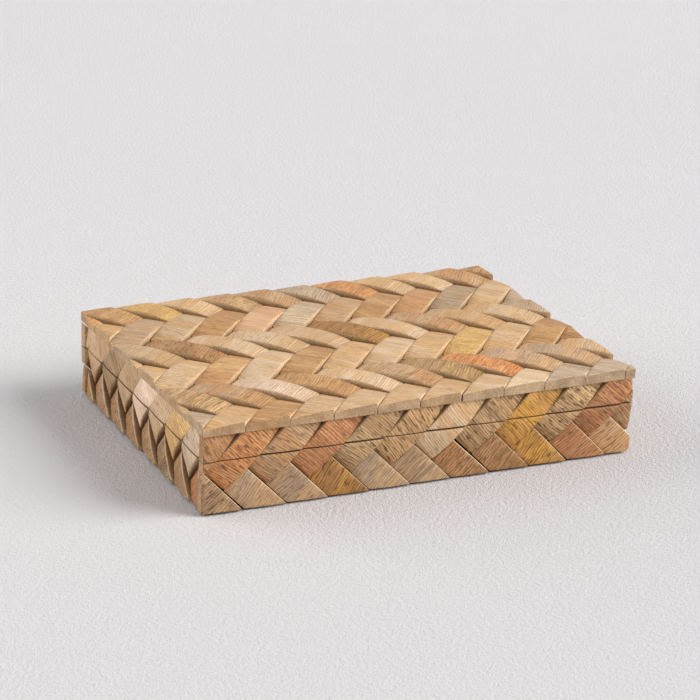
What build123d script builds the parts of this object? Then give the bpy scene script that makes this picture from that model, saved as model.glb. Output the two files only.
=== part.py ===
"""Wooden storage box, clad in domed wooden tiles laid in a herringbone.

A plain wooden carcass (four walls and a panel for the tray, four walls and a
panel for the lid) carries a skin of small tiles. Each tile is a slice of an
arched moulding: flat behind, thin at its two ends and thick in the middle. The
box was clad whole and then sawn apart, so the seam runs straight through the
upper row of side tiles. Two small brass butt hinges join the halves at the back.

Millimetres. Origin at the centre of the underside, +Z up, -Y is the front,
+X is to the right of someone who faces the front.
"""

import os
from math import ceil, sqrt

from build123d import *

os.makedirs("parts", exist_ok=True)

# Overall sizes, over the tiles
LENGTH = 250.0
WIDTH = 182.0
HEIGHT = 50.2
SEAM_HEIGHT = 29.7

# Tiles: thickness at the two ends and at the crown of the arch
TILE_END = 2.6
TILE_CROWN = 6.2
TILE_GLUE_GAP = 0.12
SAW_KERF = 0.6
SMALLEST_CHIP = 30.0
SHORTEST_REACH = 4.0

# Lid top: whole tiles, laid from the back left corner and drifting a little clockwise
LID_TILE_LENGTH = 48.2
LID_TILE_WIDTH = 17.05
LID_LAY_ANGLE = -1.1
LID_LAY_START = (-13.4, 7.95)

# Sides: the upper tiles are shorter, and each side starts at its own point,
# measured from its lower left corner as seen from outside
SIDE_TILE_WIDTH = 16.7
LOWER_TILE_LENGTH = 48.2
UPPER_TILE_LENGTH = 44.5
SIDE_LAY_START = {
    "front": (-0.7, 22.4),
    "right": (-9.0, 21.2),
    "back": (-6.5, 21.8),
    "left": (-4.2, 20.3),
}

# Carcass
WALL = 6.0
PANEL = 4.0
RABBET = 3.0

# Felt under the tray
FELT = 1.2
FELT_INSET = 3.0

# Brass butt hinges
HINGE_LENGTH = 28.0
HINGE_FROM_END = 52.0
KNUCKLES = 3
KNUCKLE_GAP = 0.2
KNUCKLE_RADIUS = 1.9
PIN_RADIUS = 0.8
PIN_CLEARANCE = 0.05
LEAF = 1.0
LEAF_GAP = 0.2
LEAF_MARGIN = 0.8
SEAT_CLEARANCE = 0.15
KNUCKLE_CLEARANCE = 0.3

# Countersunk screws, two in each hinge leaf, drawn with twelve sides
SCREW_SPACING = 16.0
SCREW_RADIUS = 0.9
SCREW_HEAD_RADIUS = 1.8
SCREW_TIP = 1.8
SCREW_TIP_RADIUS = 0.15
SCREW_SIDES = 12
SCREW_CLEARANCE = 0.05
WOOD_PAST_SCREW = 1.2

# Worked out from the sizes above
TRAY_BOTTOM = FELT
LID_UNDERSIDE = HEIGHT - TILE_CROWN
CARCASS_LENGTH = LENGTH - 2 * TILE_CROWN
CARCASS_WIDTH = WIDTH - 2 * TILE_CROWN
INNER_LENGTH = CARCASS_LENGTH - 2 * WALL
INNER_WIDTH = CARCASS_WIDTH - 2 * WALL
HINGE_AXIS_Y = WIDTH / 2 + KNUCKLE_CLEARANCE + KNUCKLE_RADIUS
HINGE_X = LENGTH / 2 - HINGE_FROM_END
LEAF_END_Y = CARCASS_WIDTH / 2 - WALL + LEAF_MARGIN
SCREW_Y = CARCASS_WIDTH / 2 - WALL / 2
SCREW_SINK = SCREW_HEAD_RADIUS - SCREW_RADIUS
SCREW_LENGTH = LID_UNDERSIDE - PANEL - SEAM_HEIGHT - LEAF_GAP / 2 - WOOD_PAST_SCREW
SEAT_DEPTH = LEAF + LEAF_GAP / 2


def save(piece, name):
    """Label a finished piece and write its STEP file."""
    piece.part.label = name
    export_step(piece.part, f"parts/{name}.step")


def box_between(low, high, mode=Mode.ADD):
    """Add a box to the open part, or take it away, by its two far corners."""
    low, high = Vector(*low), Vector(*high)
    size = high - low
    with Locations((low + high) / 2):
        Box(size.X, size.Y, size.Z, mode=mode)


# Carcass

def make_panel(bottom):
    """Tray bottom or lid panel, let into a rabbet in all four walls."""
    with BuildPart(Plane.XY.offset(bottom)) as panel:
        Box(
            INNER_LENGTH + 2 * RABBET,
            INNER_WIDTH + 2 * RABBET,
            PANEL,
            align=(Align.CENTER, Align.CENTER, Align.MIN),
        )
    return panel


def make_long_wall(side, bottom, top, panel_bottom):
    """Front (side -1) or back (side 1) wall, rabbeted for the panel and the end walls."""
    inner = INNER_WIDTH / 2
    outer = CARCASS_WIDTH / 2
    half = CARCASS_LENGTH / 2
    low, high = sorted((side * inner, side * outer))
    cut_low, cut_high = sorted((side * inner, side * (inner + RABBET)))
    with BuildPart() as wall:
        box_between((-half, low, bottom), (half, high, top))
        box_between(
            (-half, cut_low, panel_bottom),
            (half, cut_high, panel_bottom + PANEL),
            Mode.SUBTRACT,
        )
        for end in (-1, 1):
            end_low, end_high = sorted((end * (half - WALL), end * half))
            box_between((end_low, cut_low, bottom), (end_high, cut_high, top), Mode.SUBTRACT)
    return wall


def make_end_wall(side, bottom, top, panel_bottom):
    """Left (side -1) or right (side 1) wall, its ends let into the long walls."""
    inner = INNER_LENGTH / 2
    outer = CARCASS_LENGTH / 2
    half = INNER_WIDTH / 2 + RABBET
    low, high = sorted((side * inner, side * outer))
    cut_low, cut_high = sorted((side * inner, side * (inner + RABBET)))
    with BuildPart() as wall:
        box_between((low, -half, bottom), (high, half, top))
        box_between(
            (cut_low, -half, panel_bottom),
            (cut_high, half, panel_bottom + PANEL),
            Mode.SUBTRACT,
        )
    return wall


def cut_hinge_seats(top_side):
    """Take the two leaf seats out of the open part: above the seam (1) or below it (-1)."""
    low, high = sorted((SEAM_HEIGHT, SEAM_HEIGHT + top_side * SEAT_DEPTH))
    half = HINGE_LENGTH / 2 + SEAT_CLEARANCE
    for x in (-HINGE_X, HINGE_X):
        box_between(
            (x - half, LEAF_END_Y - SEAT_CLEARANCE, low),
            (x + half, WIDTH / 2 + KNUCKLE_CLEARANCE, high),
            Mode.SUBTRACT,
        )


def make_screw(clearance=0.0):
    """A countersunk screw, head down on XY, or with a clearance the hole that takes it."""
    shank_end = SCREW_LENGTH - SCREW_TIP
    with BuildPart() as screw:
        with BuildSketch():
            RegularPolygon(SCREW_HEAD_RADIUS + clearance, SCREW_SIDES)
        with BuildSketch(Plane.XY.offset(SCREW_SINK)):
            RegularPolygon(SCREW_RADIUS + clearance, SCREW_SIDES)
        loft(ruled=True)
        with BuildSketch(Plane.XY.offset(SCREW_SINK)):
            RegularPolygon(SCREW_RADIUS + clearance, SCREW_SIDES)
        extrude(amount=shank_end - SCREW_SINK)
        with BuildSketch(Plane.XY.offset(shank_end)):
            RegularPolygon(SCREW_RADIUS + clearance, SCREW_SIDES)
        with BuildSketch(Plane.XY.offset(SCREW_LENGTH + clearance)):
            RegularPolygon(SCREW_TIP_RADIUS + clearance, SCREW_SIDES)
        loft(ruled=True)
    return screw.part


def screw_places(top_side):
    """Where the screws of the lid's leaves (1) or the tray's (-1) stand, heads at the seam."""
    face = SEAM_HEIGHT + top_side * LEAF_GAP / 2
    turn = 0 if top_side > 0 else 180
    return [
        Location((x + side * SCREW_SPACING / 2, SCREW_Y, face), (turn, 0, 0))
        for x in (-HINGE_X, HINGE_X)
        for side in (-1, 1)
    ]


screw_hole = make_screw(SCREW_CLEARANCE)

with BuildPart() as felt_pad:
    with BuildSketch():
        Rectangle(LENGTH - 2 * FELT_INSET, WIDTH - 2 * FELT_INSET)
    extrude(amount=FELT)
save(felt_pad, "felt_pad")

tray_levels = (TRAY_BOTTOM, SEAM_HEIGHT, TRAY_BOTTOM)
lid_levels = (SEAM_HEIGHT, LID_UNDERSIDE, LID_UNDERSIDE - PANEL)
for half_name, levels, seat_side in (("tray", tray_levels, -1), ("lid", lid_levels, 1)):
    save(make_panel(levels[2]), f"{half_name}_panel")
    save(make_long_wall(-1, *levels), f"{half_name}_front_wall")
    save(make_end_wall(-1, *levels), f"{half_name}_left_wall")
    save(make_end_wall(1, *levels), f"{half_name}_right_wall")
    plain_back_wall = make_long_wall(1, *levels).part
    with BuildPart() as back_wall:
        add(plain_back_wall)
        cut_hinge_seats(seat_side)
        with Locations(*screw_places(seat_side)):
            add(screw_hole, mode=Mode.SUBTRACT)
    save(back_wall, f"{half_name}_back_wall")


# Tiles

def make_tile(length, width):
    """One slice of the arched moulding, from the origin along +X, flat side on XY."""
    long = length - TILE_GLUE_GAP
    with BuildPart() as tile:
        with BuildSketch(Plane.XZ):
            with BuildLine():
                Polyline((long, TILE_END), (long, 0), (0, 0), (0, TILE_END))
                ThreePointArc((0, TILE_END), (long / 2, TILE_CROWN), (long, TILE_END))
            make_face()
        extrude(amount=(width - TILE_GLUE_GAP) / 2, both=True)
    return tile.part


def row_places(lay, start, rising, width, span):
    """Where a row's tiles stand. A rising row starts at its tiles' lower left corners
    and climbs to the right, a falling one starts at their upper left corners."""
    pitch = width * sqrt(2)
    reach = width / sqrt(8)
    side_step = (reach, -reach) if rising else (reach, reach)
    angle = 45 if rising else -45
    first = -ceil((start[0] + 2 * pitch) / pitch) - 1
    last = ceil((span - start[0]) / pitch) + 1
    return [
        lay * Location((start[0] + i * pitch + side_step[0], start[1] + side_step[1], 0), (0, 0, angle))
        for i in range(first, last)
    ]


def make_row(tile, places, face, window, hinge_side=0):
    """Lay a row of tiles on a face and trim it to a window (x, y, width, height)."""
    x, y, width, height = window
    with BuildPart() as laid:
        with Locations(*places):
            add(tile)
        with BuildSketch(face):
            with Locations((x, y)):
                Rectangle(width, height, align=Align.MIN)
        extrude(amount=TILE_CROWN, mode=Mode.INTERSECT)
        if hinge_side:
            cut_hinge_seats(hinge_side)
    with BuildPart() as row:
        for piece in laid.part.solids():
            if piece.volume > SMALLEST_CHIP:
                add(piece)
    return row


# Lid top: rows alternate, falling first, from the back edge to the front edge
lid_face = Plane(origin=(-LENGTH / 2, WIDTH / 2, LID_UNDERSIDE))
lid_lay = lid_face.location * Location((0, 0, 0), (0, 0, LID_LAY_ANGLE))
lid_window = (0, -WIDTH, LENGTH, WIDTH)
lid_tile = make_tile(LID_TILE_LENGTH, LID_TILE_WIDTH)
row_step = LID_TILE_LENGTH * sqrt(2)
lid_tooth = LID_TILE_WIDTH / sqrt(2)
lid_rows = []
for pair in range(ceil(WIDTH / row_step) + 1):
    fall = (LID_LAY_START[0], LID_LAY_START[1] - pair * row_step)
    rise = (fall[0] + lid_tooth, fall[1] + lid_tooth - row_step)
    if fall[1] + lid_tooth > SHORTEST_REACH - WIDTH:
        lid_rows.append((fall, False))
    if rise[1] + row_step / 2 > SHORTEST_REACH - WIDTH:
        lid_rows.append((rise, True))
for number, (start, rising) in enumerate(lid_rows, start=1):
    places = row_places(lid_lay, start, rising, LID_TILE_WIDTH, LENGTH)
    save(make_row(lid_tile, places, lid_face, lid_window), f"lid_top_row_{number}")

# Sides: a falling row below and a rising row above, sawn through at the seam
side_height = LID_UNDERSIDE - TRAY_BOTTOM
seam = SEAM_HEIGHT - TRAY_BOTTOM
side_tooth = SIDE_TILE_WIDTH / sqrt(2)
lower_tile = make_tile(LOWER_TILE_LENGTH, SIDE_TILE_WIDTH)
upper_tile = make_tile(UPPER_TILE_LENGTH, SIDE_TILE_WIDTH)
side_faces = {
    "front": Plane((-LENGTH / 2, -CARCASS_WIDTH / 2, TRAY_BOTTOM), (1, 0, 0), (0, -1, 0)),
    "right": Plane((CARCASS_LENGTH / 2, -CARCASS_WIDTH / 2, TRAY_BOTTOM), (0, 1, 0), (1, 0, 0)),
    "back": Plane((LENGTH / 2, CARCASS_WIDTH / 2, TRAY_BOTTOM), (-1, 0, 0), (0, 1, 0)),
    "left": Plane((-CARCASS_LENGTH / 2, CARCASS_WIDTH / 2, TRAY_BOTTOM), (0, -1, 0), (-1, 0, 0)),
}
for side, face in side_faces.items():
    span = LENGTH if side in ("front", "back") else CARCASS_WIDTH
    hinge_side = 1 if side == "back" else 0
    start = SIDE_LAY_START[side]
    lower_start = (start[0] + side_tooth, start[1] - side_tooth)
    below = (0, 0, span, seam - SAW_KERF / 2)
    above = (0, seam + SAW_KERF / 2, span, side_height - seam - SAW_KERF / 2)
    upper_places = row_places(face.location, start, True, SIDE_TILE_WIDTH, span)
    lower_places = row_places(face.location, lower_start, False, SIDE_TILE_WIDTH, span)
    save(make_row(lower_tile, lower_places, face, below, -hinge_side), f"tray_{side}_lower_tiles")
    save(make_row(upper_tile, upper_places, face, below, -hinge_side), f"tray_{side}_upper_tiles")
    save(make_row(upper_tile, upper_places, face, above, hinge_side), f"lid_{side}_tiles")


# Hinges

def across_hinge(x):
    """Plane across the hinge axis at x."""
    return Plane((x, HINGE_AXIS_Y, SEAM_HEIGHT), (0, 1, 0), (1, 0, 0))


def knuckle_spans(parity):
    """Start and end along the hinge of every second knuckle."""
    step = HINGE_LENGTH / KNUCKLES
    return [
        (-HINGE_LENGTH / 2 + i * step + KNUCKLE_GAP / 2, -HINGE_LENGTH / 2 + (i + 1) * step - KNUCKLE_GAP / 2)
        for i in range(KNUCKLES)
        if i % 2 == parity
    ]


def make_leaves(top_side):
    """The lid's hinge leaves (1), with the middle knuckles, or the tray's (-1), with the end ones."""
    low, high = sorted((SEAM_HEIGHT + top_side * LEAF_GAP / 2, SEAM_HEIGHT + top_side * SEAT_DEPTH))
    relief_y = HINGE_AXIS_Y - KNUCKLE_RADIUS - KNUCKLE_CLEARANCE
    with BuildPart() as leaves:
        for x in (-HINGE_X, HINGE_X):
            box_between((x - HINGE_LENGTH / 2, LEAF_END_Y, low), (x + HINGE_LENGTH / 2, relief_y, high))
            for start, end in knuckle_spans(1 if top_side > 0 else 0):
                box_between((x + start, relief_y, low), (x + end, HINGE_AXIS_Y, high))
                with BuildSketch(across_hinge(x + start)):
                    Circle(KNUCKLE_RADIUS)
                extrude(amount=end - start)
            with BuildSketch(across_hinge(x - HINGE_LENGTH / 2)):
                Circle(PIN_RADIUS + PIN_CLEARANCE)
            extrude(amount=HINGE_LENGTH, mode=Mode.SUBTRACT)
        with Locations(*screw_places(top_side)):
            add(screw_hole, mode=Mode.SUBTRACT)
    return leaves


with BuildPart() as hinge_pins:
    for hinge_x in (-HINGE_X, HINGE_X):
        with BuildSketch(across_hinge(hinge_x - HINGE_LENGTH / 2)):
            Circle(PIN_RADIUS)
        extrude(amount=HINGE_LENGTH)
save(hinge_pins, "hinge_pins")

screw = make_screw()
for half_name, top_side in (("tray", -1), ("lid", 1)):
    save(make_leaves(top_side), f"{half_name}_hinge_leaves")
    with BuildPart() as screws:
        with Locations(*screw_places(top_side)):
            add(screw)
    save(screws, f"{half_name}_hinge_screws")
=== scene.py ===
"""Looks of the tiled wooden box: domed herringbone tiles, plain boards, brass hinges and felt."""

import math
import random
from collections import namedtuple

import bpy
from mathutils import Matrix, Vector, noise


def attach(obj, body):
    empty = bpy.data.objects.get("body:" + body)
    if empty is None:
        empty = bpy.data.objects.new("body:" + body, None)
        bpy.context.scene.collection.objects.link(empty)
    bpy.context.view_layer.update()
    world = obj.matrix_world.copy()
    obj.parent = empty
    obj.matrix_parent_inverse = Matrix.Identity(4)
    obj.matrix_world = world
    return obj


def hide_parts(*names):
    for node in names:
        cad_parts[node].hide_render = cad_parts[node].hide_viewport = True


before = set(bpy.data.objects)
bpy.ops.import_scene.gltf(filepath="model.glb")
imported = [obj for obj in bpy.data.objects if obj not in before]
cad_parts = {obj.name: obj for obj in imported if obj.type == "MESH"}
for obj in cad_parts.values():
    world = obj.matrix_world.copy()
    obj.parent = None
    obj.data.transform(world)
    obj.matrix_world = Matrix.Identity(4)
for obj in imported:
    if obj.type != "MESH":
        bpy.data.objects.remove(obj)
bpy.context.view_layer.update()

MM = 0.001

# Sizes of the box over its tiles, in millimetres, as in the frame
LENGTH = 250.0
WIDTH = 182.0
HEIGHT = 50.2
SEAM_HEIGHT = 29.7
TRAY_BOTTOM = 1.2
TILE_END = 2.6
TILE_CROWN = 6.2

# The carcass that the tiles are glued to
TILE_BED = HEIGHT - TILE_CROWN
CARCASS_LENGTH = LENGTH - 2 * TILE_CROWN
CARCASS_WIDTH = WIDTH - 2 * TILE_CROWN

# How the tiles are laid: length and width of a tile, and where each face's first tile starts
LID_TILE = (48.2, 17.05)
LOWER_TILE = (48.2, 16.7)
UPPER_TILE = (44.5, 16.7)
LID_LAY_ANGLE = math.radians(-1.1)
LID_LAY_START = (-13.4, 7.95)
SIDE_LAY_START = {
    "front": (0.8, 22.4),
    "right": (-9.0, 21.2),
    "back": (-6.5, 21.8),
    "left": (-6.0, 20.6),
}
EXTRA_LENGTH = 3.0
SMALLEST_CHIP = 1.5
SHORTEST_SIDE = 0.5

# The saw cut between lid and tray, and how much wider its edges stray
SAW_KERF = 0.4
SEAM_RAGGED = 0.25

# Hand work on each tile: gaps, rounded edges and how unevenly it lies
JOINT_GAP = (0.03, 0.3)
WIDE_GAP = 1.1
WIDE_GAP_SHARE = 0.07
ARRIS = {"joint": (0.2, 0.45), "cut": (0.15, 0.35), "seam": (0.08, 0.3), "base": (0.2, 0.4)}
ARRIS_SHARE = 0.12
BLUNT_CORNER = (0.1, 0.9)
SANDED_CORNER = 1.3
END_ROUNDING = 2.0
CROWN_DROP = 0.35
TILT = (-0.018, 0.018)
LOWER_TILT = (-0.05, -0.025)
SURFACE_WAVE = 0.1
WAVES_ALONG = 0.09
WAVES_ACROSS = 0.11
THINNEST = 0.5

# Wear and grime, and painted light: painted highlights on lit edges, painted shade in joints and at tile
# starts, and the shade of each course, painted darker on the lower courses
WEAR_DEPTH = 0.5
# How strongly the upper long edges of lower tiles are painted pale: a painted highlight
PAINTED_EDGE_HIGHLIGHT = 1.8
# Grime and painted shade at the start of each front and back upper tile, and how far along it reaches
FRONT_GRIME_AND_PAINTED_SHADE = 0.36
GRIME_AND_PAINTED_SHADE_REACH = 26.0
UPPER_SHADE = 0.98
# Painted shade on the lower courses, darkest on the ends
LOWER_PAINTED_SHADE = {"front": 0.93, "back": 0.93, "left": 0.76, "right": 0.8}
# Extra painted shade on the sides of tiles in the joints, for each kind of course
JOINT_PAINTED_SHADE = {"lid_falling": 0.15, "lid_rising": 0.0, "end": 0.3, "long_upper": 0.35, "long_lower": 0.0}

# How much one tile differs from the next of its wood
TONE = (0.9, 1.08)
WARMTH = (-0.03, 0.03)
STRIPES = (0.3, 1.2)
PORES = (0.7, 1.2)
FRECKLES = (0.6, 1.2)
GRAIN_LEAN = 10
GRAIN_SHIFT = 500

# How strongly stripes and pores show on the lid's top and on the sides
LID_GRAIN = 0.6
SIDE_GRAIN = 1.0

# A tile's mesh: its grid, and the rings of its edge by how far out, how far down and how worn; the same
# number scales the painted highlights and painted shade on its edges
STATION_STEP = 2.4
TILE_COLUMNS = 6
RINGS = ((0.7, 0.3, 0.8), (1.0, 1.0, 1.0), (1.0, "lip", 0.15), (1.0, "bed", 0.0))
ARRIS_RINGS = 2
NEARLY = 1e-4
ON_EDGE = 20 * NEARLY

# Camera, as fitted to the photograph
CAMERA_AZIMUTH = math.radians(25.96)
CAMERA_ELEVATION = math.radians(20.47)
CAMERA_ROLL = math.radians(-2.39)
CAMERA_TARGET = Vector((-4.5, -5.4, 45.6)) * MM
CAMERA_DISTANCE = 1417.9 * MM
FOCAL_PIXELS = 2600.0
PICTURE_PIXELS = 700.0
SENSOR = 36.0

# Floor and light
FLOOR_SIZE = 12.0
WORLD_COLOUR = (0.95, 0.97, 1.0, 1.0)
WORLD_STRENGTH = 0.44


def srgb(red, green, blue):
    """A colour given as it looks on screen, 0 to 255, as linear light."""
    def linear(value):
        value /= 255
        return value / 12.92 if value <= 0.04045 else ((value + 0.055) / 1.055) ** 2.4
    return (linear(red), linear(green), linear(blue), 1.0)


# A wood's colours, and how strongly stripes, open pores and freckles show in it
Wood = namedtuple("Wood", "ground blush streak stripes pores freckles")
WOODS = {
    "cream": Wood(srgb(228, 202, 164), srgb(216, 186, 146), srgb(194, 156, 112), 0.4, 0.4, 0.9),
    "pale": Wood(srgb(214, 186, 152), srgb(208, 170, 124), srgb(174, 136, 98), 0.5, 0.5, 0.3),
    "beige": Wood(srgb(210, 176, 136), srgb(206, 164, 114), srgb(162, 124, 88), 0.5, 0.6, 0.3),
    "tan": Wood(srgb(204, 166, 124), srgb(202, 152, 102), srgb(146, 104, 68), 0.6, 0.8, 0.2),
    "grey": Wood(srgb(190, 160, 128), srgb(204, 164, 120), srgb(140, 108, 78), 0.6, 0.6, 0.3),
    "pink": Wood(srgb(236, 212, 188), srgb(222, 192, 164), srgb(184, 146, 112), 0.5, 0.5, 0.4),
    "rose": Wood(srgb(202, 144, 96), srgb(190, 130, 82), srgb(138, 84, 46), 0.6, 0.8, 0.5),
    "salmon": Wood(srgb(216, 172, 134), srgb(204, 156, 112), srgb(186, 136, 94), 0.4, 0.2, 0.1),
    "orange": Wood(srgb(212, 146, 88), srgb(218, 162, 104), srgb(150, 84, 40), 0.6, 0.8, 0.2),
    "amber": Wood(srgb(200, 146, 72), srgb(180, 130, 72), srgb(124, 80, 34), 0.7, 0.8, 0.2),
    "gold": Wood(srgb(216, 160, 72), srgb(204, 152, 82), srgb(150, 96, 34), 0.6, 0.9, 0.2),
    "yellow": Wood(srgb(222, 184, 118), srgb(206, 164, 106), srgb(170, 122, 64), 0.5, 0.5, 0.8),
    "olive": Wood(srgb(194, 154, 98), srgb(180, 140, 94), srgb(118, 82, 46), 0.7, 0.9, 0.2),
    "brown": Wood(srgb(184, 134, 84), srgb(194, 146, 98), srgb(114, 74, 40), 0.7, 0.8, 0.4),
    "striped": Wood(srgb(202, 160, 110), srgb(212, 172, 122), srgb(118, 80, 46), 0.9, 0.9, 0.1),
    "silver": Wood(srgb(208, 184, 154), srgb(196, 168, 136), srgb(146, 116, 88), 0.6, 0.6, 0.4),
    "honey": Wood(srgb(208, 164, 110), srgb(194, 148, 98), srgb(144, 98, 58), 0.7, 0.8, 0.3),
    "ashen": Wood(srgb(194, 158, 118), srgb(178, 142, 104), srgb(104, 74, 46), 0.8, 1.0, 0.3),
}
COMMON_WOODS = {
    "lid": ("beige", "grey", "beige", "pale", "honey", "silver", "tan"),
    "front_upper": ("rose", "tan", "honey", "brown", "striped", "tan"),
    "front_lower": ("rose", "brown", "grey", "tan", "striped"),
    "back_upper": ("tan", "rose", "orange", "honey", "grey", "beige", "gold"),
    "back_lower": ("rose", "brown", "honey", "tan", "striped"),
    "right_upper": ("pale", "beige", "tan", "silver", "salmon", "honey"),
    "right_lower": ("rose", "tan", "honey", "brown"),
    "left_upper": ("pale", "pink", "beige", "silver"),
    "left_lower": ("rose", "brown", "tan", "honey"),
}

# The few tiles that stand out to the eye, counted along each course as it is laid
STAND_OUT = {
    "lid_course_1": {1: "yellow", 3: "striped", 6: "orange"},
    "lid_course_2": {3: "salmon", 4: "silver"},
    "lid_course_3": {1: "brown", 5: "amber"},
    "lid_course_4": {7: "yellow"},
    "lid_course_5": {0: "striped", 2: "pink", 6: "olive", 7: "orange"},
    "lid_course_6": {7: "cream"},
    "front_upper": {0: "orange", 4: "striped", 5: "pale", 7: "gold"},
    "front_lower": {-1: "ashen", 1: "grey", 2: "amber", 7: "gold"},
    "left_upper": {1: "olive", 5: "yellow"},
    "left_lower": {-1: "gold", 4: "striped"},
}


class Wire:
    """A shader value that sums and products can be written with."""

    def __init__(self, finish, socket):
        self.finish = finish
        self.socket = socket

    def maths(self, operation, first, second):
        return self.finish.node("ShaderNodeMath", {"operation": operation}, {0: first, 1: second})

    def __add__(self, other):
        return self.maths("ADD", self, other)

    def __radd__(self, other):
        return self.maths("ADD", other, self)

    def __sub__(self, other):
        return self.maths("SUBTRACT", self, other)

    def __rsub__(self, other):
        return self.maths("SUBTRACT", other, self)

    def __mul__(self, other):
        return self.maths("MULTIPLY", self, other)

    def __rmul__(self, other):
        return self.maths("MULTIPLY", other, self)

    def __abs__(self):
        return self.maths("ABSOLUTE", self, 0.0)

    def __gt__(self, other):
        return self.maths("GREATER_THAN", self, other)

    def sine(self):
        """The sine of the value, counted in whole turns."""
        return self.maths("SINE", self * math.tau, 0.0)


class Finish:
    """A material and the nodes that make it."""

    def __init__(self, name):
        self.material = bpy.data.materials.new(name)
        self.material.use_nodes = True
        self.tree = self.material.node_tree
        self.tree.nodes.clear()

    def node(self, kind, settings=None, inlets=None, outlet=0):
        """Adds a node: its settings first, then the values or links of its sockets."""
        made = self.tree.nodes.new(kind)
        for name, value in (settings or {}).items():
            setattr(made, name, value)
        for name, value in (inlets or {}).items():
            if isinstance(value, Wire):
                self.tree.links.new(value.socket, made.inputs[name])
            else:
                made.inputs[name].default_value = value
        return Wire(self, made.outputs[outlet]) if made.outputs else None

    def attribute(self, name, outlet="Vector"):
        return self.node("ShaderNodeAttribute", {"attribute_name": name}, outlet=outlet)

    def place(self):
        """Where a point is on the box, in millimetres."""
        metres = self.node("ShaderNodeTexCoord", outlet="Object")
        return self.stretch(metres, (1 / MM, 1 / MM, 1 / MM))

    def part(self, vector, axis):
        return self.node("ShaderNodeSeparateXYZ", {}, {0: vector}, outlet=axis)

    def stretch(self, vector, factors):
        """A vector with each of its parts scaled by its own factor."""
        return self.node("ShaderNodeVectorMath", {"operation": "MULTIPLY"}, {0: vector, 1: factors})

    def noise(self, vector, factors, detail=2.0, rough=0.5):
        """Soft noise whose grains are as many to the millimetre, each way, as the factors say."""
        return self.node(
            "ShaderNodeTexNoise",
            {},
            {"Vector": self.stretch(vector, factors), "Scale": 1.0, "Detail": detail, "Roughness": rough},
        )

    def ease(self, value, low, high, to_low=0.0, to_high=1.0):
        """A smooth step of a value from low to high."""
        return self.node(
            "ShaderNodeMapRange",
            {"interpolation_type": "SMOOTHSTEP"},
            {"Value": value, "From Min": low, "From Max": high, "To Min": to_low, "To Max": to_high},
        )

    def mix(self, factor, first, second, blend="MIX"):
        """Two colours mixed by a factor."""
        settings = {"data_type": "RGBA", "blend_type": blend}
        return self.node("ShaderNodeMix", settings, {0: factor, 6: first, 7: second}, outlet=2)

    def shade(self, colour, amount):
        """A colour made darker or lighter by an amount around one."""
        grey = self.node("ShaderNodeCombineColor", {}, {0: amount, 1: amount, 2: amount})
        return self.mix(1.0, colour, grey, "MULTIPLY")

    def bump(self, height, depth, strength=1.0):
        return self.node("ShaderNodeBump", {}, {"Height": height, "Distance": depth, "Strength": strength})

    def done(self, inlets):
        shader = self.node("ShaderNodeBsdfPrincipled", {}, inlets)
        self.node("ShaderNodeOutputMaterial", {}, {"Surface": shader})
        return self.material


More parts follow.
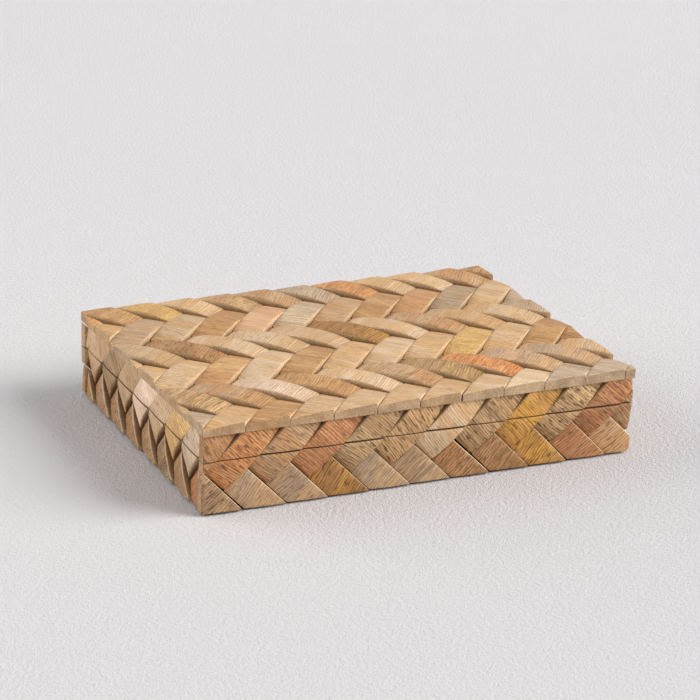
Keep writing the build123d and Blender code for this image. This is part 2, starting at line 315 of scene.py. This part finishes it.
def tile_wood():
    """Waxed tile wood. Its grain runs across each tile, along Y of the tile's own coordinates.

    Three fields come from the mesh: worn edges, with painted highlights on lit edges and painted shade on
    seam and base edges; grime and painted shade at a tile's start, with painted shade deeper in a joint;
    and cut faces.
    """
    finish = Finish("tile_wood")
    flat_place = finish.attribute("grain")
    ground = finish.attribute("ground", "Color")
    blush = finish.attribute("blush", "Color")
    streak = finish.attribute("streak", "Color")
    figure = finish.attribute("figure")
    stripes = finish.part(figure, 0)
    pores = finish.part(figure, 1)
    freckles = finish.part(figure, 2)
    wear_and_painted_light = finish.attribute("wear_and_painted_light", "Fac")
    grime_and_painted_shade = finish.attribute("grime_and_painted_shade", "Fac")
    sawn = finish.attribute("sawn", "Fac")

    sway = finish.noise(flat_place, (0.03, 0.045, 0.03), 0.0) - 0.5
    swaying = finish.node("ShaderNodeCombineXYZ", {}, {"X": sway * 2.6, "Y": 0.0, "Z": sway * 1.6})
    place = finish.node("ShaderNodeVectorMath", {"operation": "ADD"}, {0: flat_place, 1: swaying})

    heart = finish.ease(finish.noise(place, (0.09, 0.02, 0.09), 2.0), 0.42, 0.58)
    band = finish.ease(finish.noise(place, (0.3, 0.018, 0.3), 2.0, 0.6), 0.48, 0.6)
    crowding = finish.noise(place, (0.16, 0.02, 0.16), 1.0)
    ring = (finish.part(place, 0) * 0.68 + finish.part(place, 2) * 0.2 + crowding * 2.2).sine()
    broken = finish.ease(finish.noise(place, (0.8, 0.05, 0.8), 2.0), 0.42, 0.54)
    dash = finish.ease(ring, 0.4, 0.95) * broken
    fibre = finish.noise(place, (1.6, 0.05, 1.6), 2.0, 0.7)
    line = finish.ease(fibre, 0.5, 0.6)
    pore = finish.ease(finish.noise(place, (1.7, 0.2, 1.7), 0.0), 0.6, 0.66)
    freckle = finish.ease(finish.noise(place, (1.5, 1.1, 1.5), 1.0), 0.48, 0.6)
    dust = finish.noise(flat_place, (1.3, 1.1, 1.3), 3.0, 0.8)
    cloud = finish.noise(flat_place, (0.12, 0.08, 0.12), 2.0)

    colour = finish.mix(heart, ground, blush)
    colour = finish.mix(band * (0.1 + stripes * 0.45), colour, streak)
    colour = finish.shade(colour, finish.ease(ring, -1.0, 0.1, 1.26, 1.0))
    colour = finish.mix(line * (0.12 + stripes * 0.65), colour, streak)
    colour = finish.mix(freckle * freckles * 0.7, colour, streak)
    pit = finish.mix(0.8, streak, (0.36, 0.27, 0.18, 1.0), "MULTIPLY")
    colour = finish.mix(dash * (0.1 + stripes * 0.8), colour, finish.mix(pores * 0.75, streak, pit))
    colour = finish.mix(pore * pores * 0.8, colour, pit)
    colour = finish.shade(colour, 0.8 + cloud * 0.2 + dust * 0.24)
    raw = finish.mix(finish.ease(sawn, 1.0, 2.0), srgb(240, 216, 178), srgb(188, 154, 116))
    scorch = finish.ease(cloud + dust * 0.4, 0.6, 0.8) * finish.ease(sawn, 1.0, 2.0)
    raw = finish.mix(scorch * 0.7, raw, srgb(132, 94, 58))
    raw = finish.mix(0.3, raw, ground)
    raw = finish.shade(raw, finish.ease(dust, 0.38, 0.62, 0.62, 1.16))
    cut_face = finish.ease(sawn, 0.0, 1.0)
    colour = finish.mix(cut_face * 0.85, colour, raw)
    # Worn edges lighten; the lit edges of lower tiles get a painted highlight in the same pale colour
    worn = finish.ease(wear_and_painted_light + (cloud + dust - 1.0) * 2.0, 0.5, 1.3)
    colour = finish.mix(worn * 0.85, colour, srgb(246, 228, 196))
    # Seam and base edges are painted near black: painted shade in the saw gap and along the floor
    colour = finish.mix(finish.ease(wear_and_painted_light, 0.0, -1.0) * 0.85, colour, srgb(46, 30, 20))
    # Painted shade darkens the joints, more the deeper they go, and grime with painted shade darkens the
    # start of front and back upper tiles
    painted_shade_and_grime_colour = finish.mix(1.0, colour, (0.32, 0.22, 0.13, 1.0), "MULTIPLY")
    colour = finish.mix(finish.ease(grime_and_painted_shade, 0.1, 1.0), colour, painted_shade_and_grime_colour)

    height = dash * -0.4 - pore * pores * 0.8 - freckle * freckles * 0.4 + dust * (0.4 + cut_face * 1.2)
    return finish.done(
        {
            "Base Color": colour,
            "Roughness": 0.38 + pore * 0.2 + cut_face * 0.3 - band * 0.05 + dust * 0.15,
            "Normal": finish.bump(height, 0.08 * MM, 0.8),
            "Specular IOR Level": 0.5,
        }
    )


def board_wood(name, along):
    """Plain sanded board with its grain along one axis, dark on the faces that the tiles cover."""
    finish = Finish(name)
    place = finish.place()

    def lengthways(across, length):
        return [length if axis == along else across for axis in range(3)]

    line = finish.noise(place, lengthways(0.9, 0.04), 3.0, 0.6)
    band = finish.noise(place, lengthways(0.11, 0.006), 3.0)
    pore = finish.ease(finish.noise(place, lengthways(2.0, 0.14), 1.0), 0.62, 0.72)
    colour = finish.mix(finish.ease(band, 0.35, 0.7), srgb(208, 178, 136), srgb(182, 146, 102))
    colour = finish.mix(finish.ease(line, 0.5, 0.8) * 0.5, colour, srgb(150, 114, 76))
    colour = finish.mix(pore * 0.6, colour, srgb(104, 76, 50))
    # The faces under the tiles are coloured dark
    on_end = abs(finish.part(place, 0)) > CARCASS_LENGTH / 2 - 0.05
    on_face = abs(finish.part(place, 1)) > CARCASS_WIDTH / 2 - 0.05
    on_top = finish.part(place, 2) > TILE_BED - 0.05
    tile_covered = (on_end + on_face + on_top) > 0.5
    colour = finish.mix(tile_covered, colour, srgb(52, 36, 24))
    return finish.done(
        {
            "Base Color": colour,
            "Roughness": 0.6 + pore * 0.15,
            "Normal": finish.bump(line * 0.4 - pore * 0.6, 0.1 * MM, 0.6),
            "Specular IOR Level": 0.35,
        }
    )


def satin_brass(name, bright, tarnished):
    """Satin brass with fine brushing and a little tarnish."""
    finish = Finish(name)
    place = finish.place()
    brushed = finish.noise(place, (0.3, 9.0, 9.0), 2.0)
    darkening = finish.noise(place, (0.26, 0.26, 0.26), 3.0)
    return finish.done(
        {
            "Base Color": finish.mix(finish.ease(darkening, 0.45, 0.75) * 0.6, bright, tarnished),
            "Metallic": 1.0,
            "Roughness": 0.26 + brushed * 0.18 + darkening * 0.1,
            "Normal": finish.bump(brushed, 0.02 * MM, 0.4),
        }
    )


def black_felt():
    """Black felt pad with a short matted nap."""
    finish = Finish("black_felt")
    place = finish.place()
    nap = finish.noise(place, (2.6, 2.6, 2.6), 4.0, 0.7)
    matted = finish.noise(place, (0.16, 0.16, 0.16), 3.0)
    colour = finish.mix(finish.ease(nap, 0.35, 0.8), srgb(14, 13, 13), srgb(44, 42, 41))
    return finish.done(
        {
            "Base Color": finish.mix(matted * 0.5, colour, srgb(22, 21, 21)),
            "Roughness": 0.95,
            "Sheen Weight": 0.2,
            "Normal": finish.bump(nap, 0.25 * MM, 0.9),
        }
    )


def pale_cloth():
    """Off-white table cloth under the box."""
    finish = Finish("pale_cloth")
    place = finish.place()
    weave = finish.noise(place, (1.1, 1.1, 1.1), 2.0, 0.6)
    lumps = finish.noise(place, (0.4, 0.4, 0.4), 2.0)
    cast = finish.noise(place, (0.0016, 0.0016, 0.0016), 1.0)
    colour = finish.mix(cast, srgb(222, 219, 220), srgb(214, 211, 213))
    return finish.done(
        {
            "Base Color": finish.shade(colour, finish.ease(weave, 0.3, 0.7, 0.94, 1.05)),
            "Roughness": 0.9,
            "Specular IOR Level": 0.2,
            "Normal": finish.bump(weave + lumps, 1.2 * MM, 0.8),
        }
    )


def clip(outline, edges, point, inward, kind):
    """Cuts a convex outline by a line. Each side keeps the kind of edge that it is."""
    kept = []
    kept_edges = []
    for i, here in enumerate(outline):
        there = outline[(i + 1) % len(outline)]
        depth_here = (here - point).dot(inward)
        depth_there = (there - point).dot(inward)
        if depth_here >= 0:
            kept.append(here)
            kept_edges.append(edges[i])
        if (depth_here >= 0) != (depth_there >= 0):
            kept.append(here.lerp(there, depth_here / (depth_here - depth_there)))
            kept_edges.append(kind if depth_here >= 0 else edges[i])
    return kept, kept_edges


def without_short_sides(outline, edges):
    """Drops the points that end a side too short to see."""
    kept = []
    kept_edges = []
    for i, here in enumerate(outline):
        there = outline[(i + 1) % len(outline)]
        if (there - here).length >= SHORTEST_SIDE:
            kept.append(here)
            kept_edges.append(edges[i])
    return kept, kept_edges


def area(outline):
    total = 0.0
    for i, here in enumerate(outline):
        there = outline[(i + 1) % len(outline)]
        total += here.x * there.y - here.y * there.x
    return total / 2


def meet(normal_a, level_a, normal_b, level_b):
    """The point where two lines meet, each given by its normal and level."""
    spread = normal_a.x * normal_b.y - normal_a.y * normal_b.x
    x = (level_a * normal_b.y - level_b * normal_a.y) / spread
    y = (normal_a.x * level_b - normal_b.x * level_a) / spread
    return Vector((x, y))


def inset(outline, depths):
    """A convex outline moved inward, each side by its own depth, and the moved sides' lines."""
    lines = []
    for i, here in enumerate(outline):
        along = (outline[(i + 1) % len(outline)] - here).normalized()
        inward = Vector((-along.y, along.x))
        lines.append((inward, inward.dot(here) + depths[i]))
    moved = [meet(*lines[i - 1], *lines[i]) for i in range(len(lines))]
    return moved, lines


def span_at(outline, s):
    """Lowest and highest t of a convex outline at one s."""
    found = []
    for i, here in enumerate(outline):
        there = outline[(i + 1) % len(outline)]
        low = min(here.x, there.x)
        high = max(here.x, there.x)
        if low - NEARLY <= s <= high + NEARLY:
            if high - low < NEARLY:
                found += [here.y, there.y]
            else:
                share = min(max((s - here.x) / (there.x - here.x), 0), 1)
                found.append(here.y + share * (there.y - here.y))
    return min(found), max(found)


def arch(s, length, extra):
    """Height of the moulding over a tile's flat back: an arch that rounds over at both ends."""
    rise = TILE_CROWN - TILE_END
    half = length / 2
    radius = (half * half + rise * rise) / (2 * rise)
    height = TILE_CROWN - radius + math.sqrt(radius * radius - (s - half) ** 2)
    from_end = min(s, length + extra - s)
    if from_end < END_ROUNDING:
        height -= END_ROUNDING - math.sqrt(END_ROUNDING**2 - (END_ROUNDING - from_end) ** 2)
    return height


def stations_along(ends, length):
    """Where a tile's grid has its rows: at its corners, where it rounds over, and evenly between."""
    low = min(ends)
    high = max(ends)
    steps = max(int((high - low) / STATION_STEP), 1)
    fine = [low + (high - low) * i / steps for i in range(1, steps)]
    for share in (0.15, 0.4, 0.75, 1.2):
        fine += [END_ROUNDING * share, length - END_ROUNDING * share]
    stations = []
    for s in sorted(ends):
        if not stations or s - stations[-1] > NEARLY:
            stations.append(s)
    corners = list(stations)
    for s in fine:
        if low < s < high and min(abs(s - corner) for corner in corners) > 0.2:
            stations.append(s)
    return sorted(stations)


class Tile:
    """The mesh of one domed tile in its own coordinates."""

    def __init__(self, outline, edges, length, extra, tilt, start_grime_and_painted_shade, darkening, chance):
        self.points = []
        self.wear_and_painted_light = []
        self.grime_and_painted_shade = []
        self.faces = []
        self.sawn = []
        self.smooth = []
        arris = {kind: chance.uniform(*sizes) for kind, sizes in ARRIS.items()}
        widest = math.sqrt(area(outline)) * ARRIS_SHARE
        self.arrises = [min(arris[edge], widest) for edge in edges]
        inner, self.lines = inset(outline, self.arrises)
        self.edges = edges
        self.worn = chance.uniform(0.2, 1.0)
        self.length = length
        self.extra = extra
        self.drop = chance.uniform(0, CROWN_DROP)
        self.tilt = chance.uniform(*tilt)
        self.start_grime_and_painted_shade = start_grime_and_painted_shade
        self.darkening = darkening
        self.seed = chance.uniform(0, 99)
        grid = self.lay_grid(inner)
        self.add_sides(grid)

    def top(self, s, t):
        """Height of the domed face, uneven as a tile finished by hand."""
        wave = noise.noise(Vector((s * WAVES_ALONG, t * WAVES_ACROSS, self.seed)))
        lean = self.tilt * (t - LID_TILE[1] / 2) + abs(self.tilt) * LID_TILE[1] / 2
        s = min(max(s, 0), self.length + self.extra)
        height = arch(s, self.length, self.extra)
        return max(height - self.drop - lean - SURFACE_WAVE * (1 + wave), THINNEST)

    def grime_and_painted_shade_at(self, s):
        """How much grime and painted shade darken the domed face, most at the tile's start."""
        return self.start_grime_and_painted_shade * max(1 - s / GRIME_AND_PAINTED_SHADE_REACH, 0)

    def add_point(self, x, y, z, wear_and_painted_light, grime_and_painted_shade):
        self.points.append(Vector((x, y, z)))
        self.wear_and_painted_light.append(wear_and_painted_light)
        self.grime_and_painted_shade.append(grime_and_painted_shade)
        return len(self.points) - 1

    def add_face(self, corners, sawn, smooth):
        self.faces.append(corners)
        self.sawn.append(sawn)
        self.smooth.append(smooth)

    def lay_grid(self, inner):
        """Points and faces of the dome, one column for each station along the tile."""
        index_of = {}
        grid = []
        for s in stations_along([point.x for point in inner], self.length + self.extra):
            low, high = span_at(inner, s)
            column = []
            for i in range(TILE_COLUMNS):
                t = low + (high - low) * i / (TILE_COLUMNS - 1)
                key = (round(s, 3), round(t, 3))
                if key not in index_of:
                    z = self.top(s, t)
                    index_of[key] = self.add_point(s, t, z, 0.0, self.grime_and_painted_shade_at(s))
                column.append(index_of[key])
            grid.append(column)
        for left, right in zip(grid, grid[1:]):
            for i in range(TILE_COLUMNS - 1):
                corners = [left[i], right[i], right[i + 1], left[i + 1]]
                face = [corner for n, corner in enumerate(corners) if corner != corners[n - 1]]
                if len(set(face)) > 2:
                    self.add_face(face, 0.0, True)
        return grid

    def add_sides(self, grid):
        """Rounds the arris over, takes the sides down to the bed and closes the back."""
        rim = [column[0] for column in grid] + grid[-1][1:]
        rim += [column[-1] for column in grid[-2::-1]] + grid[0][-2:0:-1]
        rim = [r for n, r in enumerate(rim) if r != rim[n - 1]]
        rings = [rim]
        kinds = [self.edges_at(self.points[r]) for r in rim]
        for ring in RINGS:
            rings.append([self.rim_point(self.points[r], *ring) for r in rim])
        for number, (upper, lower) in enumerate(zip(rings, rings[1:])):
            for i in range(len(upper)):
                n = (i + 1) % len(upper)
                sawn = 0.0
                if number >= ARRIS_RINGS:
                    sawn = 1.0 if "joint" in kinds[i] & kinds[n] else 2.0
                self.add_face([upper[i], lower[i], lower[n], upper[n]], sawn, False)
        self.add_face(rings[-1][::-1], 1.0, False)

    def edges_at(self, here):
        """The kinds of edge that a point of the rim lies on."""
        return {
            edge
            for (normal, level), edge in zip(self.lines, self.edges)
            if abs(normal.dot(here.xy) - level) < ON_EDGE
        }

    def rim_point(self, here, out_share, fall, wear_and_painted_light):
        """A point outside and below one of the rim: further out, further down and more or less worn, with
        the painted highlight or painted shade of its edge.
        """
        touching = []
        for (normal, level), arris in zip(self.lines, self.arrises):
            if abs(normal.dot(here.xy) - level) < ON_EDGE:
                touching.append((normal, arris))
        if len(touching) == 1:
            out = -touching[0][0] * touching[0][1]
        else:
            out = meet(touching[0][0], -touching[0][1], touching[1][0], -touching[1][1])
        rough = noise.noise(Vector((here.x * 0.5, here.y * 0.5, self.seed + 7)))
        depth = max(arris for _, arris in touching) * (1.1 + 0.9 * rough)
        if fall == "lip":
            z = max(here.z - depth - WEAR_DEPTH, THINNEST / 4)
        elif fall == "bed":
            z = 0.0
        else:
            z = max(here.z - depth * fall, THINNEST / 2)
        kinds = self.edges_at(here)
        # Seam and base edges take painted shade, for the saw gap and the floor beneath
        if "seam" in kinds or "base" in kinds:
            wear_and_painted_light *= -1
        elif "cut" in kinds:
            wear_and_painted_light *= 0.3
        # The upper long edge of a lower tile takes a painted highlight
        elif self.tilt < min(TILT) and touching[0][0].y < -0.9:
            wear_and_painted_light *= PAINTED_EDGE_HIGHLIGHT
        else:
            wear_and_painted_light *= self.worn
        # Joint sides take painted shade, darker the deeper they go; other sides a little
        grime_and_painted_shade = self.darkening + 1 - z / TILE_CROWN if kinds == {"joint"} else 0.15
        # The arris rings take the grime and painted shade of the domed face
        if fall not in ("lip", "bed"):
            grime_and_painted_shade = self.grime_and_painted_shade_at(here.x)
        return self.add_point(here.x + out.x * out_share, here.y + out.y * out_share, z, wear_and_painted_light, grime_and_painted_shade)


class Course:
    """The mesh of a run of tiles, with what the tile wood needs to know at each point."""

    def __init__(self):
        self.points = []
        self.faces = []
        names = ("grain", "ground", "blush", "streak", "figure", "wear_and_painted_light", "grime_and_painted_shade")
        self.on_points = {name: [] for name in names}
        self.sawn = []
        self.smooth = []

    def add(self, tile, to_box, wood, chance, depth, grain_share):
        """Adds a tile in its wood, with a tone and a stretch of grain of its own; depth darkens the tone
        with the course's painted shade.
        """
        # A random tone, times the course's painted shade
        shade = chance.uniform(*TONE) * depth
        warmth = chance.uniform(*WARMTH)
        tint = (shade * (1 + warmth), shade, shade * (1 - warmth), 1.0)
        ground, blush, streak = (
            [part * turn for part, turn in zip(colour, tint)] for colour in wood[:3]
        )
        figure = [
            wood.stripes * chance.uniform(*STRIPES) * (0.3 + 0.7 * grain_share),
            wood.pores * chance.uniform(*PORES) * grain_share,
            wood.freckles * chance.uniform(*FRECKLES),
        ]
        shift = Vector([chance.uniform(-GRAIN_SHIFT, GRAIN_SHIFT) for _ in range(3)])
        lean = Matrix.Rotation(math.radians(chance.uniform(-GRAIN_LEAN, GRAIN_LEAN)), 3, "Z")
        base = len(self.points)
        for point, wear_and_painted_light, grime_and_painted_shade in zip(tile.points, tile.wear_and_painted_light, tile.grime_and_painted_shade):
            self.points.append(to_box @ point * MM)
            values = (lean @ point + shift, ground, blush, streak, figure, [wear_and_painted_light], [grime_and_painted_shade])
            for name, value in zip(self.on_points, values):
                self.on_points[name].extend(value)
        self.faces += [[base + corner for corner in face] for face in tile.faces]
        self.sawn += tile.sawn
        self.smooth += tile.smooth

    def build(self, name, material):
        mesh = bpy.data.meshes.new(name)
        mesh.from_pydata(self.points, [], self.faces)
        kinds = {"grain": "vector", "figure": "vector", "wear_and_painted_light": "value", "grime_and_painted_shade": "value"}
        types = {"vector": "FLOAT_VECTOR", "value": "FLOAT", "color": "FLOAT_COLOR"}
        for key, values in self.on_points.items():
            field = kinds.get(key, "color")
            mesh.attributes.new(key, types[field], "POINT").data.foreach_set(field, values)
        mesh.attributes.new("sawn", "FLOAT", "FACE").data.foreach_set("value", self.sawn)
        mesh.materials.append(material)
        mesh.polygons.foreach_set("use_smooth", self.smooth)
        piece = bpy.data.objects.new(name, mesh)
        bpy.context.scene.collection.objects.link(piece)
        return piece


def plane(origin, to_right, outward):
    """A face of the box: its corner, its direction to the right and the way it looks."""
    x = Vector(to_right)
    z = Vector(outward)
    turned = Matrix((x, z.cross(x), z)).transposed().to_4x4()
    return Matrix.Translation(origin) @ turned


def tile_outline(tile, extra, placed, window, seam_side, chance):
    """A tile's rectangle with its corners blunted, trimmed to a window of the face it lies on."""
    length, width = tile
    gaps = [chance.uniform(*JOINT_GAP) for _ in range(4)]
    if chance.random() < WIDE_GAP_SHARE:
        gaps[chance.randrange(4)] = WIDE_GAP
    end = length + extra
    outline = [
        Vector((gaps[0], gaps[0])),
        Vector((end - gaps[1], gaps[1])),
        Vector((end - gaps[2], width - gaps[2])),
        Vector((gaps[3], width - gaps[3])),
    ]
    edges = ["joint"] * 4
    middle = Vector((length / 2, width / 2))
    for corner in outline:
        inward = Vector((math.copysign(1, middle.x - corner.x), math.copysign(1, middle.y - corner.y)))
        inward.normalize()
        blunt = corner + inward * chance.uniform(*BLUNT_CORNER)
        outline, edges = clip(outline, edges, blunt, inward, "joint")
    x0, y0, x1, y1 = window
    to_tile = placed.inverted()
    for side, corner, inward in (
        ("start", (x0, y0), (1, 0)),
        ("end", (x1, y1), (-1, 0)),
        ("bottom", (x0, y0), (0, 1)),
        ("top", (x1, y1), (0, -1)),
    ):
        point = (to_tile @ Vector((*corner, 0))).xy
        across = (to_tile.to_3x3() @ Vector((*inward, 0))).xy
        if side == seam_side:
            point += across * chance.uniform(0, SEAM_RAGGED)
            kind = "seam"
        else:
            kind = "base" if side == "bottom" and seam_side == "top" else "cut"
        outline, edges = clip(outline, edges, point, across, kind)
        if len(outline) < 3:
            return outline, edges
    if seam_side == "top":
        sanded = Vector((x1, y0, 0)) + Vector((-SANDED_CORNER, SANDED_CORNER, 0)) / math.sqrt(2)
        across = (to_tile.to_3x3() @ Vector((-1, 1, 0)).normalized()).xy
        outline, edges = clip(outline, edges, (to_tile @ sanded).xy, across, "cut")
    return without_short_sides(outline, edges)


def lay_course(node, course, face, lay, tile, start, rising, window, seam_side, grain_share):
    """Lays a run of tiles on a face and trims it to a window, as the piece that replaces a node."""
    length, width = tile
    pitch = width * math.sqrt(2)
    turn = Matrix.Rotation(math.radians(45 if rising else -45), 4, "Z")
    run = Course()
    woods = COMMON_WOODS["lid" if course.startswith("lid") else course]
    extra = EXTRA_LENGTH if course.endswith("upper") else 0
    tilt = LOWER_TILT if course.endswith("lower") else TILT
    # Lower courses are darkened by painted shade, most on the ends
    depth = LOWER_PAINTED_SHADE[course.split("_")[0]] if course.endswith("lower") else UPPER_SHADE
    # Front and back upper courses get grime and painted shade at the start of each tile
    start_grime_and_painted_shade = FRONT_GRIME_AND_PAINTED_SHADE if course in ("front_upper", "back_upper") else 0
    # How much painted shade the sides in the joints get: on the lid, only the falling rows
    if course.startswith("lid"):
        darkening = JOINT_PAINTED_SHADE["lid_rising" if rising else "lid_falling"]
    elif course.startswith(("left", "right")):
        darkening = JOINT_PAINTED_SHADE["end"]
    else:
        darkening = JOINT_PAINTED_SHADE["long_upper" if rising else "long_lower"]
    first = -math.ceil((start[0] + 2 * pitch) / pitch) - 1
    last = math.ceil((window[2] - start[0]) / pitch) + 1
    for i in range(first, last):
        chance = random.Random(f"{course} {i}")
        centre_line = Vector((start[0] + i * pitch, start[1], 0))
        side = Vector((width, -width, 0)) if rising else Vector((0, 0, 0))
        placed = lay @ Matrix.Translation(centre_line + side / math.sqrt(2)) @ turn
        outline, edges = tile_outline(tile, extra, placed, window, seam_side, chance)
        if len(outline) < 3 or area(outline) < SMALLEST_CHIP:
            continue
        wood = STAND_OUT.get(course, {}).get(i, chance.choice(woods))
        laid = Tile(outline, edges, length, extra, tilt, start_grime_and_painted_shade, darkening, chance)
        run.add(laid, face @ placed, WOODS[wood], chance, depth, grain_share)
    piece = run.build(node + "_laid", TILE_FINISH)
    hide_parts(node)
    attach(piece, "lid" if node.startswith("lid") else "tray")


TILE_FINISH = tile_wood()

# Lid top, from the back edge to the front edge
lid_face = plane((-LENGTH / 2, WIDTH / 2, TILE_BED), (1, 0, 0), (0, 0, 1))
lid_lay = Matrix.Rotation(LID_LAY_ANGLE, 4, "Z")
row_step = LID_TILE[0] * math.sqrt(2)
tooth = LID_TILE[1] / math.sqrt(2)
for pair in range(3):
    fall = (LID_LAY_START[0], LID_LAY_START[1] - pair * row_step)
    rise = (fall[0] + tooth, fall[1] + tooth - row_step)
    for number, start, rising in ((2 * pair + 1, fall, False), (2 * pair + 2, rise, True)):
        lay_course(
            f"lid_top_row_{number}", f"lid_course_{number}", lid_face, lid_lay, LID_TILE,
            start, rising, (0, -WIDTH, LENGTH, 0), None, LID_GRAIN,
        )

# Sides, each with a lower course and an upper one that the seam saws through
side_faces = {
    "front": plane((-LENGTH / 2, -CARCASS_WIDTH / 2, TRAY_BOTTOM), (1, 0, 0), (0, -1, 0)),
    "right": plane((CARCASS_LENGTH / 2, -CARCASS_WIDTH / 2, TRAY_BOTTOM), (0, 1, 0), (1, 0, 0)),
    "back": plane((LENGTH / 2, CARCASS_WIDTH / 2, TRAY_BOTTOM), (-1, 0, 0), (0, 1, 0)),
    "left": plane((-CARCASS_LENGTH / 2, CARCASS_WIDTH / 2, TRAY_BOTTOM), (0, -1, 0), (-1, 0, 0)),
}
seam = SEAM_HEIGHT - TRAY_BOTTOM
side_tooth = LOWER_TILE[1] / math.sqrt(2)
for side, face in side_faces.items():
    span = LENGTH if side in ("front", "back") else CARCASS_WIDTH
    start = SIDE_LAY_START[side]
    lower_start = (start[0] + side_tooth, start[1] - side_tooth)
    below = (0, 0, span, seam - SAW_KERF / 2)
    above = (0, seam + SAW_KERF / 2, span, TILE_BED - TRAY_BOTTOM)
    for node, course, tile, first_corner, rising, window, seam_side in (
        (f"tray_{side}_lower_tiles", f"{side}_lower", LOWER_TILE, lower_start, False, below, "top"),
        (f"tray_{side}_upper_tiles", f"{side}_upper", UPPER_TILE, start, True, below, "top"),
        (f"lid_{side}_tiles", f"{side}_upper", UPPER_TILE, start, True, above, "bottom"),
    ):
        lay_course(
            node, course, face, Matrix.Identity(4), tile,
            first_corner, rising, window, seam_side, SIDE_GRAIN,
        )

# Boards, brass and felt keep their frame shapes
long_boards = board_wood("long_board_wood", 0)
end_boards = board_wood("end_board_wood", 1)
leaf_brass = satin_brass("leaf_brass", srgb(244, 216, 146), srgb(206, 168, 100))
screw_brass = satin_brass("screw_brass", srgb(196, 156, 92), srgb(132, 98, 54))
felt = black_felt()
for name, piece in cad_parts.items():
    if name.endswith("_tiles") or "_row_" in name:
        continue
    if name.endswith(("_left_wall", "_right_wall")):
        finish = end_boards
    elif name.endswith(("_wall", "_panel")):
        finish = long_boards
    elif name == "felt_pad":
        finish = felt
    elif name.endswith("_screws"):
        finish = screw_brass
    else:
        finish = leaf_brass
    piece.data.materials.clear()
    piece.data.materials.append(finish)

# Floor
bpy.ops.mesh.primitive_plane_add(size=FLOOR_SIZE)
floor = bpy.context.object
floor.name = "floor"
floor.data.materials.append(pale_cloth())

# Light
world = bpy.data.worlds.new("studio")
bpy.context.scene.world = world
world.use_nodes = True
sky = world.node_tree.nodes["Background"]
sky.inputs["Color"].default_value = WORLD_COLOUR
sky.inputs["Strength"].default_value = WORLD_STRENGTH


def add_lamp(name, source, spread, strength, colour):
    """A wide soft lamp far away, so that the floor is lit alike all round the box."""
    light = bpy.data.lights.new(name, "SUN")
    light.angle = math.radians(spread)
    light.energy = strength
    light.color = colour
    holder = bpy.data.objects.new(name, light)
    holder.location = source
    holder.rotation_euler = (-Vector(source)).to_track_quat("-Z", "Y").to_euler()
    bpy.context.scene.collection.objects.link(holder)


add_lamp("window", (1.75, -1.0, 1.4), 42, 3.4, (1.0, 0.985, 0.96))
add_lamp("white_wall", (-2.0, 1.2, 0.55), 60, 2.3, (1.0, 0.99, 0.98))

# Camera
back = Vector((
    -math.sin(CAMERA_AZIMUTH) * math.cos(CAMERA_ELEVATION),
    -math.cos(CAMERA_AZIMUTH) * math.cos(CAMERA_ELEVATION),
    math.sin(CAMERA_ELEVATION),
))
level_right = Vector((0, 0, 1)).cross(back).normalized()
level_up = back.cross(level_right)
right = level_right * math.cos(CAMERA_ROLL) - level_up * math.sin(CAMERA_ROLL)
up = level_up * math.cos(CAMERA_ROLL) + level_right * math.sin(CAMERA_ROLL)
lens = bpy.data.cameras.new("camera")
lens.sensor_width = SENSOR
lens.lens = FOCAL_PIXELS / PICTURE_PIXELS * SENSOR
camera = bpy.data.objects.new("camera", lens)
turned = Matrix((right, up, back)).transposed().to_4x4()
camera.matrix_world = Matrix.Translation(CAMERA_TARGET + back * CAMERA_DISTANCE) @ turned
bpy.context.scene.collection.objects.link(camera)
bpy.context.scene.camera = camera
bpy.context.scene.view_settings.view_transform = "Standard"
